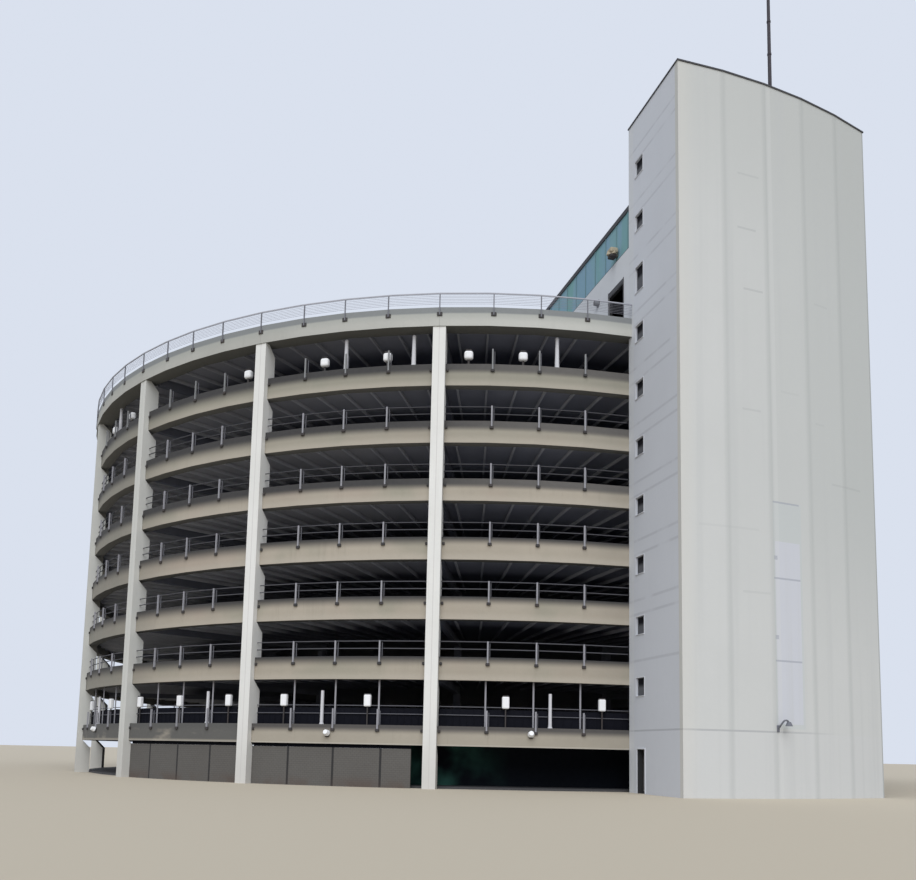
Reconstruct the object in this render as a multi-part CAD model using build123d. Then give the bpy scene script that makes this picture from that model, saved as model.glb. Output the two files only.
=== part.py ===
from build123d import *
import os
from math import cos, degrees, radians, sin

os.makedirs("parts", exist_ok=True)

# Round multi storey car park with a stair tower, made at one tenth of its real size
# Millimetres, +Z up, ground at Z = 0, the front fin stands at -Y

# Plan of the ring
bay_count = 18
facets_per_bay = 4
inner_facets_per_bay = 2
fin_outer_r = 2720
flange_depth = 30
web_depth = 50
fin_width = 62
fin_taper_h = 50
movement_joint = 0.6
seat_gap = 0.3

# Heights of the storeys, to the underside of each edge band
ground_clear_h = 197
first_storey_h = 304
storey_h = 284.5
top_storey_h = 285.5
storey_count = 7

# Edge bands, slabs and the frame that carries them
first_band_h = 91
first_kerb_h = 25
band_h = 108
kerb_h = 33
roof_ring_h = 94
roof_ring_lip = 5
slab_t = 20
ground_slab_t = 10
column_lines = 9
column_inset = 1240
column_w = 40
beam_w = 30
beam_h = 45

# Guard rails, with posts fixed to the faces of the bands and the roof ring
posts_per_bay = 3
post_w = 7
post_h = 74
post_foot_drop = 6
roof_post_h = 72
rail_w = 5

# Ground storey walls
screen_h = 180
screen_t = 20
screen_inset = 12
screen_gap_at_fin = 60
screen_bays = 2
inner_wall_inset = 240
inner_wall_t = 20
inner_wall_overrun = 170

# Stair tower, a wedge that starts on line one and closes with a front of flat panels
tower_line = 1
tower_spread = 20.7
tower_panels = 5
tower_depth = 525
tower_top_z = 3323
base_course_h = 280
tower_wall_t = 28
tower_roof_drop = 50
tower_roof_t = 20
upper_floor_count = 2
cap_h = 7
cap_lip = 4
door_offset = 85
door_w = 80
door_h = 200
window_offset = 75
window_w = 85
window_h = 85
window_count = 10
first_window_z = 485
window_pitch = 285.5
tall_window = 8
tall_window_drop = 34
tall_window_rise = 15
pane_t = 5
mast_r = 5
mast_h = 520
mast_angle = 29.2

# Hall on the roof beside the tower
hall_depth = 1390
hall_wall_t = 20
hall_wall_top_z = 2691
hall_glass_h = 204
hall_glass_t = 8
hall_roof_t = 24
hall_door_offset = 64
hall_door_w = 181
hall_door_head_z = 2536
lamp_offset = 157
lamp_z = 2736
lamp_size = 45

# Values that follow from the ones above
bay_angle = 360 / bay_count
half_bay = radians(bay_angle / 2)
band_r = fin_outer_r - flange_depth
deck_r = band_r - web_depth
column_ring_r = deck_r - column_inset
inner_wall_r = deck_r - inner_wall_inset
tower_front_r = band_r + tower_depth
door_start_r = band_r + door_offset
window_start_r = band_r + window_offset
hall_inner_r = band_r - hall_depth
hall_door_start_r = band_r - hall_door_offset - hall_door_w
lamp_r = band_r - lamp_offset
far_r = 2 * tower_front_r
band_zs = [ground_clear_h, ground_clear_h + first_storey_h]
for storey in range(2, storey_count):
    band_zs.append(band_zs[-1] + storey_h)
roof_ring_z = band_zs[-1] + top_storey_h
roof_top_z = roof_ring_z + roof_ring_h
band_tops = [band_zs[0] + first_band_h] + [z + band_h for z in band_zs[1:]] + [roof_top_z]
deck_tops = [band_tops[0] - first_kerb_h] + [z - kerb_h for z in band_tops[1:]]
roof_deck_z = deck_tops[-1]
fin_lines = [n for n in range(bay_count) if n not in (tower_line, tower_line + 1)]
open_bays = [n for n in range(bay_count) if n != tower_line]
tower_angle = tower_line * bay_angle
tower_end_angle = tower_angle + tower_spread
tower_mid_angle = tower_angle + tower_spread / 2
fin_half_angle = degrees(fin_width / 2 / band_r)


def polar(radius, angle):
    return (radius * sin(radians(angle)), -radius * cos(radians(angle)))


def turned(shape, angle):
    return Rot(0, 0, angle) * shape


def bar_2d(x_low, x_high, r_low, r_high, angle):
    """A rectangle laid out on -Y, from one radius to another, turned to an angle."""
    centre = Pos((x_low + x_high) / 2, -(r_low + r_high) / 2)
    return turned(centre * Rectangle(x_high - x_low, r_high - r_low), angle)


def polygon_2d(radius, facets):
    return RegularPolygon(radius, bay_count * facets, rotation=-90)


def sector_2d(radius, start, end, panels):
    """A sector of a circle whose arc is made of flat panels."""
    step = (end - start) / panels
    rim = [polar(radius, start + n * step) for n in range(panels + 1)]
    return make_face(Polyline((0, 0), *rim, (0, 0)))


def post_angles(bay):
    """Where the posts of a bay stand, evenly spaced between the fins or the tower."""
    start = tower_end_angle if bay == tower_line + 1 else bay * bay_angle + fin_half_angle
    end = (bay + 1) * bay_angle
    if bay != tower_line - 1:
        end -= fin_half_angle
    step = (end - start) / (posts_per_bay + 1)
    return [start + place * step for place in range(1, posts_per_bay + 1)]


def raised(sketch, z_low, z_high):
    return Pos(0, 0, z_low) * extrude(sketch, z_high - z_low)


def save(shapes, name):
    solids = [solid for shape in shapes for solid in shape.solids()]
    export_step(Compound(solids), "parts/" + name + ".step")


# Slabs of the ground, the seven decks and the roof
deck_2d = polygon_2d(deck_r, inner_facets_per_bay)
save([raised(deck_2d, 0, ground_slab_t)], "ground_slab")
for number, top in enumerate(deck_tops[:-1], 1):
    save([raised(deck_2d, top - slab_t, top)], "deck_" + str(number))
save([raised(deck_2d, roof_deck_z - slab_t, roof_deck_z)], "roof_deck")

# Edge bands, one length a bay, parted behind the fins
joints_2d = []
for line in range(bay_count):
    cut = bar_2d(-movement_joint / 2, movement_joint / 2, deck_r / 2, far_r, line * bay_angle)
    joints_2d.append(cut)
band_2d = polygon_2d(band_r, facets_per_bay) - deck_2d - joints_2d
for number, z in enumerate(band_zs, 1):
    save([raised(band_2d, z, band_tops[number - 1])], "fascia_" + str(number))

# Roof ring, which lies over the heads of the fins and stops at the tower
wedge_2d = sector_2d(far_r, tower_angle, tower_end_angle, 1)
beside_tower_2d = wedge_2d - polygon_2d(band_r, facets_per_bay)
roof_ring_2d = polygon_2d(fin_outer_r + roof_ring_lip, facets_per_bay) - deck_2d
roof_ring_2d = roof_ring_2d - joints_2d - beside_tower_2d
roof_ring = raised(roof_ring_2d, roof_ring_z, roof_top_z)
save([roof_ring], "roof_ring")

# Fins, a flat flange to the street and a web behind it in each storey
flange = raised(bar_2d(-fin_width / 2, fin_width / 2, band_r, fin_outer_r, 0), 0, roof_ring_z)
save([turned(flange, line * bay_angle) for line in fin_lines], "fins")
web_feet = [0] + band_tops[:-1]
web_heads = band_zs + [roof_ring_z]
webs = []
for foot, head in zip(web_feet, web_heads):
    outline = Polyline(
        (-band_r, foot),
        (-deck_r, foot),
        (-deck_r, head - fin_taper_h),
        (-band_r, head),
        (-band_r, foot),
    )
    web = extrude(Plane.YZ * make_face(outline), fin_width / 2, both=True)
    webs += [turned(web, line * bay_angle) for line in fin_lines]
save(webs, "fin_webs")

# Radial beams under the decks and the inner columns that carry them
beam_tops = [top - slab_t for top in deck_tops]
column_feet = [ground_slab_t] + deck_tops[:-1]
beam_end_r = deck_r - beam_w / 2
beam_2d = bar_2d(-beam_w / 2, beam_w / 2, column_ring_r - column_w / 2, beam_end_r, 0)
column_2d = Pos(0, -column_ring_r) * Rectangle(column_w, column_w)
beams = []
columns = []
for foot, top in zip(column_feet, beam_tops):
    beam = raised(beam_2d, top - beam_h, top)
    column = raised(column_2d, foot, top - beam_h)
    for line in range(column_lines):
        angle = line * 360 / column_lines
        beams.append(turned(beam, angle))
        columns.append(turned(column, angle))
save(beams, "deck_beams")
save(columns, "inner_columns")

# Guard rail posts, each cut to lie flat against the face of its band
post_places = [angle for bay in open_bays for angle in post_angles(bay)]
post_2d = bar_2d(-post_w / 2, post_w / 2, band_r - post_w, band_r + post_w, 0)
posts_2d = Sketch() + [turned(post_2d, angle) for angle in post_places]
posts_2d -= polygon_2d(band_r, facets_per_bay)
for number, top in enumerate(band_tops[:-1], 1):
    foot = deck_tops[number - 1] - post_foot_drop
    save([raised(posts_2d, foot, top + post_h)], "railing_" + str(number))

# Roof guard rail, its top rail parted beside the post of each fin
ring_outer_r = fin_outer_r + roof_ring_lip
ring_outer_2d = polygon_2d(ring_outer_r, facets_per_bay)
rail_z = roof_top_z + roof_post_h
rail_2d = polygon_2d(ring_outer_r + rail_w, facets_per_bay) - ring_outer_2d - wedge_2d
for line in range(bay_count):
    rail_2d -= bar_2d(rail_w, rail_w + movement_joint, deck_r / 2, far_r, line * bay_angle)
roof_rail = raised(rail_2d, rail_z - rail_w, rail_z)
roof_post_2d = bar_2d(-rail_w / 2, rail_w / 2, ring_outer_r - rail_w, ring_outer_r + rail_w, 0)
roof_places = post_places + [line * bay_angle for line in fin_lines]
roof_posts_2d = Sketch() + [turned(roof_post_2d, angle) for angle in roof_places]
roof_posts_2d -= ring_outer_2d
roof_posts = raised(roof_posts_2d, roof_deck_z - post_foot_drop, rail_z - rail_w)
save([roof_rail + roof_posts], "roof_railing")

# Block screen in the bays before the front fin, parted at the quarter points
screen_r = band_r - screen_inset
screen_ring_2d = polygon_2d(screen_r, facets_per_bay) - polygon_2d(screen_r - screen_t, facets_per_bay)
screen_bays_2d = sector_2d(far_r, -screen_bays * bay_angle, 0, 1)
screen_cuts = [bar_2d(-fin_width / 2 - screen_gap_at_fin, 0, deck_r / 2, far_r, 0)]
for place in range(1, screen_bays * facets_per_bay + 1):
    angle = -place * bay_angle / facets_per_bay
    cut_width = movement_joint if place % facets_per_bay else fin_width
    screen_cuts.append(bar_2d(-cut_width / 2, cut_width / 2, deck_r / 2, far_r, angle))
screen_2d = (screen_ring_2d & screen_bays_2d) - screen_cuts
save([raised(screen_2d, 0, screen_h)], "ground_screen_wall")

# Plain wall set back inside the bay before the tower, up to the undersides of the beams
inner_wall_half = inner_wall_r * sin(half_bay) + inner_wall_overrun
inner_wall_2d = bar_2d(
    -inner_wall_half, inner_wall_half, inner_wall_r - inner_wall_t, inner_wall_r, bay_angle / 2
)
save([raised(inner_wall_2d, ground_slab_t, beam_tops[0] - beam_h)], "ground_inner_wall")

# Tower plan, two radial side walls closed by a front of flat panels
outer_sector_2d = sector_2d(tower_front_r, tower_angle, tower_end_angle, tower_panels)
room_front_r = tower_front_r - tower_wall_t
inner_sector_2d = sector_2d(room_front_r, tower_angle, tower_end_angle, tower_panels)
left_strip_2d = bar_2d(0, tower_wall_t, band_r, far_r, tower_angle)
right_strip_2d = bar_2d(-tower_wall_t, 0, band_r, far_r, tower_end_angle)
back_r = band_r + seat_gap
back_strip_2d = bar_2d(-band_r, band_r, back_r, back_r + tower_wall_t, tower_mid_angle)
behind_2d = bar_2d(-band_r, band_r, 0, back_r + tower_wall_t, tower_mid_angle)
room_2d = inner_sector_2d - left_strip_2d - right_strip_2d - behind_2d
front_2d = outer_sector_2d - inner_sector_2d
left_2d = left_strip_2d & inner_sector_2d
right_2d = right_strip_2d & inner_sector_2d
back_2d = (wedge_2d & back_strip_2d) - left_strip_2d - right_strip_2d

# Tower walls, with a doorway and a column of small windows in the left one
save([raised(front_2d, 0, tower_top_z)], "tower_front_wall")
save([raised(right_2d, 0, tower_top_z)], "tower_right_wall")
save([raised(back_2d, 0, tower_top_z)], "tower_back_wall")
door_2d = bar_2d(-tower_wall_t, 2 * tower_wall_t, door_start_r, door_start_r + door_w, tower_angle)
window_2d = bar_2d(
    -tower_wall_t, 2 * tower_wall_t, window_start_r, window_start_r + window_w, tower_angle
)
pane_low = (tower_wall_t - pane_t) / 2
pane_2d = bar_2d(
    pane_low, pane_low + pane_t, window_start_r, window_start_r + window_w, tower_angle
)
door_wall = raised(left_2d, 0, base_course_h) - raised(door_2d, -door_h, door_h)
save([door_wall], "tower_door_wall")
left_wall = raised(left_2d, base_course_h, tower_top_z)
panes = []
for number in range(1, window_count + 1):
    middle = first_window_z + (number - 1) * window_pitch
    sill = middle - window_h / 2
    head = middle + window_h / 2
    if number == tall_window:
        sill -= tall_window_drop
        head += tall_window_rise
    left_wall -= raised(window_2d, sill, head)
    panes.append(raised(pane_2d, sill, head))
save([left_wall], "tower_left_wall")
save(panes, "tower_windows")

# Tower floors at the deck levels and above, its roof, cap and mast
floor_tops = deck_tops + [roof_deck_z + (n + 1) * storey_h for n in range(upper_floor_count)]
floors = [raised(room_2d, 0, ground_slab_t)]
floors += [raised(room_2d, top - slab_t, top) for top in floor_tops]
save(floors, "tower_floors")
tower_roof_z = tower_top_z - tower_roof_drop
save([raised(room_2d, tower_roof_z - tower_roof_t, tower_roof_z)], "tower_roof")
plan_2d = front_2d + left_2d + right_2d + back_2d + room_2d
cap_2d = offset(plan_2d, cap_lip, kind=Kind.INTERSECTION) - offset(room_2d, -cap_lip, kind=Kind.INTERSECTION)
save([raised(cap_2d, tower_top_z, tower_top_z + cap_h)], "tower_cap")
mast_foot_z = tower_top_z + cap_h
mast_place = polar(tower_front_r - tower_wall_t / 2, mast_angle)
mast_2d = Pos(*mast_place) * RegularPolygon(mast_r, 8)
save([raised(mast_2d, mast_foot_z, mast_foot_z + mast_h)], "tower_mast")

# Hall on the roof, its left wall in one plane with the tower's
hall_depth_2d = bar_2d(-band_r, band_r, hall_inner_r, back_r - seat_gap, tower_mid_angle)
hall_2d = (wedge_2d & hall_depth_2d) - left_strip_2d - right_strip_2d


def hall_wall_2d(inset, thick):
    """A three sided wall, open to the tower, set in from the face of the hall."""
    left = bar_2d(inset, inset + thick, 0, band_r, tower_angle)
    right = bar_2d(-inset - thick, -inset, 0, band_r, tower_end_angle)
    end = bar_2d(-band_r, band_r, hall_inner_r + inset, hall_inner_r + inset + thick, tower_mid_angle)
    room = bar_2d(-band_r, band_r, hall_inner_r + inset, back_r, tower_mid_angle)
    edge_left = bar_2d(0, inset, 0, far_r, tower_angle)
    edge_right = bar_2d(-inset, 0, 0, far_r, tower_end_angle)
    sides = (left + right) & room & wedge_2d
    walls = sides + (end & wedge_2d)
    if inset > 0:
        walls = walls - edge_left - edge_right
    return walls


hall_walls = raised(hall_wall_2d(0, hall_wall_t), roof_deck_z, hall_wall_top_z) - roof_ring
hall_door_2d = bar_2d(
    -hall_wall_t, 2 * hall_wall_t, hall_door_start_r, hall_door_start_r + hall_door_w, tower_angle
)
hall_walls -= raised(hall_door_2d, roof_deck_z - slab_t, hall_door_head_z)
save([hall_walls], "roof_hall_walls")
glass_inset = (hall_wall_t - hall_glass_t) / 2
hall_glass_top_z = hall_wall_top_z + hall_glass_h
hall_glass = raised(hall_wall_2d(glass_inset, hall_glass_t), hall_wall_top_z, hall_glass_top_z)
save([hall_glass], "roof_hall_glass")
save([raised(hall_2d, hall_glass_top_z, hall_glass_top_z + hall_roof_t)], "roof_hall_roof")

# Horn lamp on the face of the glass band
lamp_2d = bar_2d(glass_inset - lamp_size, glass_inset, lamp_r - lamp_size / 2, lamp_r + lamp_size / 2, tower_angle)
lamp = raised(lamp_2d, lamp_z - lamp_size / 2, lamp_z + lamp_size / 2)
save([lamp], "roof_hall_lamp")
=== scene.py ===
from math import cos, floor, pi, radians, tan

import bmesh
import bpy
from mathutils import Matrix, Vector


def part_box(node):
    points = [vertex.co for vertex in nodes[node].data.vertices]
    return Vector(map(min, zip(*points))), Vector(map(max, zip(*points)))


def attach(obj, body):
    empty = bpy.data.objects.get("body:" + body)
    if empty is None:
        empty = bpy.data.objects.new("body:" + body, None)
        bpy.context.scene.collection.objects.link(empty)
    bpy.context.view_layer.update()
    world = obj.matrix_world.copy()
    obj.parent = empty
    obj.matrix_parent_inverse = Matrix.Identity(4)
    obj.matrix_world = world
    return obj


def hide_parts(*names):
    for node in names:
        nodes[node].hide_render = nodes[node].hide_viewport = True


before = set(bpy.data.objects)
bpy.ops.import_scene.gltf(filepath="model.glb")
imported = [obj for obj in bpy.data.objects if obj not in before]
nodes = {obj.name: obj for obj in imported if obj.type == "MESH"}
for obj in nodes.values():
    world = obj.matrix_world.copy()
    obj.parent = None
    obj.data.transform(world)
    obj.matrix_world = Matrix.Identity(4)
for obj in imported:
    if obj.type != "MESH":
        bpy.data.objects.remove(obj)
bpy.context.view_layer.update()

# Camera at the photograph's viewing angle, low on the pavement and tilted up. It is
# turned a little to the left and leans by one degree
camera_data = bpy.data.cameras.new("camera")
camera_data.sensor_width = 36
camera_data.lens = 38.111
camera_data.shift_y = 0.2074
camera = bpy.data.objects.new("camera", camera_data)
camera.location = (0.5302, -7.1539, 0.17)
yaw = Matrix.Rotation(0.0921, 3, "Z")
pitch = Matrix.Rotation(pi / 2 + 0.1253, 3, "X")
roll = Matrix.Rotation(0.0211, 3, "Z")
camera.rotation_euler = (yaw @ pitch @ roll).to_euler()
bpy.context.scene.collection.objects.link(camera)
bpy.context.scene.camera = camera
bpy.context.scene.view_settings.view_transform = "Standard"

# Plain pale floor, one flat sheet that reaches far past the building
floor_mesh = bpy.data.meshes.new("floor")
work = bmesh.new()
bmesh.ops.create_grid(work, x_segments=1, y_segments=1, size=60)
work.to_mesh(floor_mesh)
work.free()
ground = bpy.data.objects.new("floor", floor_mesh)
bpy.context.scene.collection.objects.link(ground)
ground_material = bpy.data.materials.new("floor pale")
ground_material.use_nodes = True
ground_shader = ground_material.node_tree.nodes["Principled BSDF"]
ground_shader.inputs["Base Color"].default_value = (0.50, 0.445, 0.355, 1)
ground_shader.inputs["Roughness"].default_value = 0.9
ground.data.materials.append(ground_material)

# Sky, a dim blue that gives the soft fill light and is itself seen, in glass and
# mirrors too, as a paler overcast blue
world = bpy.data.worlds.new("sky")
bpy.context.scene.world = world
world.use_nodes = True
sky = world.node_tree


def number(tree, operation, *values):
    """The output of a math node whose inputs are sockets or plain numbers."""
    node = tree.nodes.new("ShaderNodeMath")
    node.operation = operation
    for place, value in enumerate(values):
        if isinstance(value, (int, float)):
            node.inputs[place].default_value = value
        else:
            tree.links.new(value, node.inputs[place])
    return node.outputs["Value"]


fill = sky.nodes["Background"]
fill.inputs["Color"].default_value = (0.80, 0.88, 1.0, 1)
fill.inputs["Strength"].default_value = 0.45
seen = sky.nodes.new("ShaderNodeBackground")
seen.inputs["Color"].default_value = (0.70, 0.752, 0.855, 1)
seen.inputs["Strength"].default_value = 1.0
rays = sky.nodes.new("ShaderNodeLightPath")
any_seen = number(sky, "MAXIMUM", rays.outputs["Is Camera Ray"], rays.outputs["Is Glossy Ray"])
any_seen = number(sky, "MAXIMUM", any_seen, rays.outputs["Is Transmission Ray"])
sky_choice = sky.nodes.new("ShaderNodeMixShader")
sky.links.new(any_seen, sky_choice.inputs["Fac"])
sky.links.new(fill.outputs["Background"], sky_choice.inputs[1])
sky.links.new(seen.outputs["Background"], sky_choice.inputs[2])
sky.links.new(sky_choice.outputs["Shader"], sky.nodes["World Output"].inputs["Surface"])

# Soft daylight from high in front, wide enough that the tower's left wall is only in
# half shade
sun_data = bpy.data.lights.new("daylight", "SUN")
sun_data.energy = 2.6
sun_data.angle = radians(60)
sun = bpy.data.objects.new("daylight", sun_data)
sun.rotation_euler = (radians(45), 0, 0)
bpy.context.scene.collection.objects.link(sun)

# Decks, beams and columns, the cast concrete frame that hardly any daylight reaches.
# The undersides are painted with shade: a dull blue, lighter to the left with painted
# light, darker on the high storeys and near black deep inside. The beams, columns and
# ground slab are painted dark with the same shade. The tops are worn in patches, and
# greyer on the roof


def noise(tree, scale, detail, roughness=0.5, stretched=(1, 1, 1)):
    """Cloudy noise through the piece's own space."""
    where = tree.nodes.new("ShaderNodeTexCoord")
    mapping = tree.nodes.new("ShaderNodeMapping")
    mapping.inputs["Scale"].default_value = stretched
    tree.links.new(where.outputs["Object"], mapping.inputs["Vector"])
    cloud = tree.nodes.new("ShaderNodeTexNoise")
    cloud.inputs["Scale"].default_value = scale
    cloud.inputs["Detail"].default_value = detail
    cloud.inputs["Roughness"].default_value = roughness
    tree.links.new(mapping.outputs["Vector"], cloud.inputs["Vector"])
    return cloud.outputs["Fac"]


def ramp(tree, value, low, high, to_low=0.0, to_high=1.0, course="SMOOTHSTEP"):
    """A value turned from one range into another, smoothly unless the course is linear."""
    node = tree.nodes.new("ShaderNodeMapRange")
    node.interpolation_type = course
    node.inputs["From Min"].default_value = low
    node.inputs["From Max"].default_value = high
    node.inputs["To Min"].default_value = to_low
    node.inputs["To Max"].default_value = to_high
    tree.links.new(value, node.inputs["Value"])
    return node.outputs["Result"]


def blend(tree, factor, below, above):
    """A colour, from a socket or plain, laid over the colour of a socket."""
    mix = tree.nodes.new("ShaderNodeMix")
    mix.data_type = "RGBA"
    tree.links.new(factor, mix.inputs["Factor"])
    tree.links.new(below, mix.inputs["A"])
    if isinstance(above, tuple):
        mix.inputs["B"].default_value = (*above, 1)
    else:
        tree.links.new(above, mix.inputs["B"])
    return mix.outputs["Result"]


# Weathering, an effect that nearly every finish shares: clouding over large areas,
# streaks that run down from edges, and fine grain for the roughness and the bump
weathering = bpy.data.node_groups.new("weathering", "ShaderNodeTree")
for name, kind in (("Colour", "Color"), ("Stain", "Color"), ("Cloud", "Float"), ("Streak", "Float")):
    weathering.interface.new_socket(name, in_out="INPUT", socket_type="NodeSocket" + kind)
for name, kind in (("Colour", "Color"), ("Roughness", "Float"), ("Height", "Float")):
    weathering.interface.new_socket(name, in_out="OUTPUT", socket_type="NodeSocket" + kind)
weather_in = weathering.nodes.new("NodeGroupInput")
weather_out = weathering.nodes.new("NodeGroupOutput")
clouding = ramp(weathering, noise(weathering, 2.2, 5, 0.62), 0.38, 0.72, course="LINEAR")
clouding = number(weathering, "MULTIPLY", clouding, weather_in.outputs["Cloud"])
streaks = noise(weathering, 1.6, 6, 0.7, (16, 16, 1.1))
streaks = ramp(weathering, streaks, 0.50, 0.80, course="LINEAR")
streaks = number(weathering, "MULTIPLY", streaks, weather_in.outputs["Streak"])
worn = number(weathering, "MAXIMUM", clouding, streaks)
stained = blend(weathering, worn, weather_in.outputs["Colour"], weather_in.outputs["Stain"])
grain = noise(weathering, 60, 4)
weathering.links.new(stained, weather_out.inputs["Colour"])
roughness = ramp(weathering, grain, 0, 1, 0.66, 0.92, course="LINEAR")
weathering.links.new(roughness, weather_out.inputs["Roughness"])
weathering.links.new(grain, weather_out.inputs["Height"])

# Position, a shared effect too: where a point lies round the ring, in degrees from the
# front and in degrees to the left or right alike in front and behind, its height, its
# distance from the middle and how far it lies behind the tower's left wall, in mm
position = bpy.data.node_groups.new("position", "ShaderNodeTree")
for name in ("Angle", "Side", "Height", "Radius", "Inset", "Underside"):
    position.interface.new_socket(name, in_out="OUTPUT", socket_type="NodeSocketFloat")
position_out = position.nodes.new("NodeGroupOutput")
where = position.nodes.new("ShaderNodeTexCoord")
spot = position.nodes.new("ShaderNodeSeparateXYZ")
position.links.new(where.outputs["Object"], spot.inputs["Vector"])
millimetres = [number(position, "MULTIPLY", spot.outputs[axis], 1000) for axis in "XYZ"]
forward = number(position, "MULTIPLY", millimetres[1], -1)
angle = number(position, "DEGREES", number(position, "ARCTAN2", millimetres[0], forward))
position.links.new(angle, position_out.inputs["Angle"])
squares = number(position, "MULTIPLY", millimetres[0], millimetres[0])
squares = number(position, "MULTIPLY_ADD", forward, forward, squares)
radius = number(position, "SQRT", squares)
position.links.new(radius, position_out.inputs["Radius"])
side = number(position, "ARCSINE", number(position, "DIVIDE", millimetres[0], radius))
position.links.new(number(position, "DEGREES", side), position_out.inputs["Side"])
position.links.new(millimetres[2], position_out.inputs["Height"])
inset = number(position, "MULTIPLY", millimetres[0], 0.9397)
inset = number(position, "MULTIPLY_ADD", millimetres[1], 0.3420, inset)
position.links.new(inset, position_out.inputs["Inset"])
surface = position.nodes.new("ShaderNodeNewGeometry")
facing = position.nodes.new("ShaderNodeSeparateXYZ")
position.links.new(surface.outputs["Normal"], facing.inputs["Vector"])
position.links.new(number(position, "LESS_THAN", facing.outputs["Z"], -0.5), position_out.inputs["Underside"])


def located(material):
    """A material's node tree and the outputs of the position group placed in it."""
    tree = material.node_tree
    group = tree.nodes.new("ShaderNodeGroup")
    group.node_tree = position
    return tree, group.outputs


def weathered(name, colour, stain, cloud, streak, bump):
    """A material whose colour, roughness and bump come from the weathering group."""
    material = bpy.data.materials.new(name)
    material.use_nodes = True
    tree = material.node_tree
    shader = tree.nodes["Principled BSDF"]
    group = tree.nodes.new("ShaderNodeGroup")
    group.node_tree = weathering
    group.inputs["Colour"].default_value = (*colour, 1)
    group.inputs["Stain"].default_value = (*stain, 1)
    group.inputs["Cloud"].default_value = cloud
    group.inputs["Streak"].default_value = streak
    relief = tree.nodes.new("ShaderNodeBump")
    relief.inputs["Strength"].default_value = bump
    relief.inputs["Distance"].default_value = 0.002
    tree.links.new(group.outputs["Height"], relief.inputs["Height"])
    tree.links.new(group.outputs["Colour"], shader.inputs["Base Color"])
    tree.links.new(group.outputs["Roughness"], shader.inputs["Roughness"])
    tree.links.new(relief.outputs["Normal"], shader.inputs["Normal"])
    return material


def product(tree, factor, *others):
    """Several factors, the first of them a socket, multiplied together."""
    for other in others:
        factor = number(tree, "MULTIPLY", factor, other)
    return factor


def tint(material, colour, *factors):
    """Lay a colour over a material, as strongly as the product of the factors."""
    tree = material.node_tree
    shader = tree.nodes["Principled BSDF"]
    below = shader.inputs["Base Color"].links[0].from_socket
    mixed = blend(tree, product(tree, *factors), below, colour)
    tree.links.new(mixed, shader.inputs["Base Color"])


def patches(tree, scale, low, high, stretched=(1, 1, 1)):
    """Soft patches that cover part of a surface, from 0 to 1."""
    return ramp(tree, noise(tree, scale, 3, 0.5, stretched), low, high)


def deep_inside(tree, at):
    """One far from the street and nought near it, the mask of the painted shade deep inside.
    It begins nearer to the street on the high storeys."""
    lift = number(tree, "MAXIMUM", number(tree, "SUBTRACT", at["Height"], 1700), 0)
    distance = number(tree, "MULTIPLY_ADD", lift, -0.55, at["Radius"])
    return ramp(tree, distance, 2130, 1950)


def dress(names, material):
    """Give the building's own pieces of these names one material."""
    for name in names:
        nodes[name].data.materials.clear()
        nodes[name].data.materials.append(material)


deck_material = weathered("deck concrete", (0.36, 0.375, 0.44), (0.22, 0.23, 0.27), 0.6, 0.0, 0.3)
tree, at = located(deck_material)
painted_light_to_left = ramp(tree, at["Side"], 6, -14)
painted_light_strength = ramp(tree, at["Height"], 1500, 2200, 0.7, 0.45)
# Painted light: the undersides lighter to the left
tint(deck_material, (0.50, 0.49, 0.48), painted_light_to_left, painted_light_strength, at["Underside"])
# Painted shade: the undersides darker on the high storeys
tint(deck_material, (0.18, 0.19, 0.25), ramp(tree, at["Height"], 1850, 2240, 0.0, 0.4), at["Underside"])
# Painted shade: the undersides near black deep inside
tint(deck_material, (0.045, 0.05, 0.08), deep_inside(tree, at), at["Underside"], 0.85)
on_top = number(tree, "SUBTRACT", 1, at["Underside"])
tint(deck_material, (0.33, 0.325, 0.315), on_top, ramp(tree, at["Height"], 2260, 2268, 0.0, 0.85))
tint(deck_material, (0.24, 0.235, 0.225), on_top, patches(tree, 3.4, 0.46, 0.66), 0.4)
dress(["roof_deck"] + ["deck_" + str(storey) for storey in range(1, 8)], deck_material)
# Ground slab painted near black with the shade of the ground storey
slab_material = weathered("ground slab", (0.05, 0.05, 0.055), (0.03, 0.03, 0.03), 0.6, 0.0, 0.3)
dress(["ground_slab"], slab_material)
# Beams and columns painted a dark blue with the shade of the interior
frame_material = weathered("frame concrete", (0.17, 0.18, 0.225), (0.09, 0.095, 0.12), 0.6, 0.4, 0.3)
dress(["deck_beams", "inner_columns"], frame_material)

# Joists, slim concrete ribs cast under each deck above the first, six to a bay, that
# fan out towards the street. They carry painted shade, near black deep inside and darker
# on the high storeys
bay_turn = 20
bay_count = 18
joists_per_bay = 6
joist_size = (0.010, 1.17, 0.018)
joist_middle_r = 2.04


def on_ring(angle, radius, height):
    """The place on a circle round the middle, with its own -Y facing outwards."""
    return Matrix.Rotation(radians(angle), 4, "Z") @ Matrix.Translation((0, -radius, height))


def bar(work, size, place, bevel=0.0, segments=1):
    """Add one bar of a size in metres at a place, with its edges bevelled."""
    made = bmesh.ops.create_cube(work, size=1, matrix=place @ Matrix.Diagonal((*size, 1)))
    if bevel:
        edges = {edge for vert in made["verts"] for edge in vert.link_edges}
        bmesh.ops.bevel(work, geom=list(edges), offset=bevel, segments=segments, profile=0.5, affect="EDGES")


def finished(name, work, material):
    """Turn mesh work into a piece that rides on the building."""
    mesh = bpy.data.meshes.new(name)
    work.to_mesh(mesh)
    work.free()
    mesh.materials.append(material)
    piece = bpy.data.objects.new(name, mesh)
    bpy.context.scene.collection.objects.link(piece)
    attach(piece, "root")
    return piece


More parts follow.
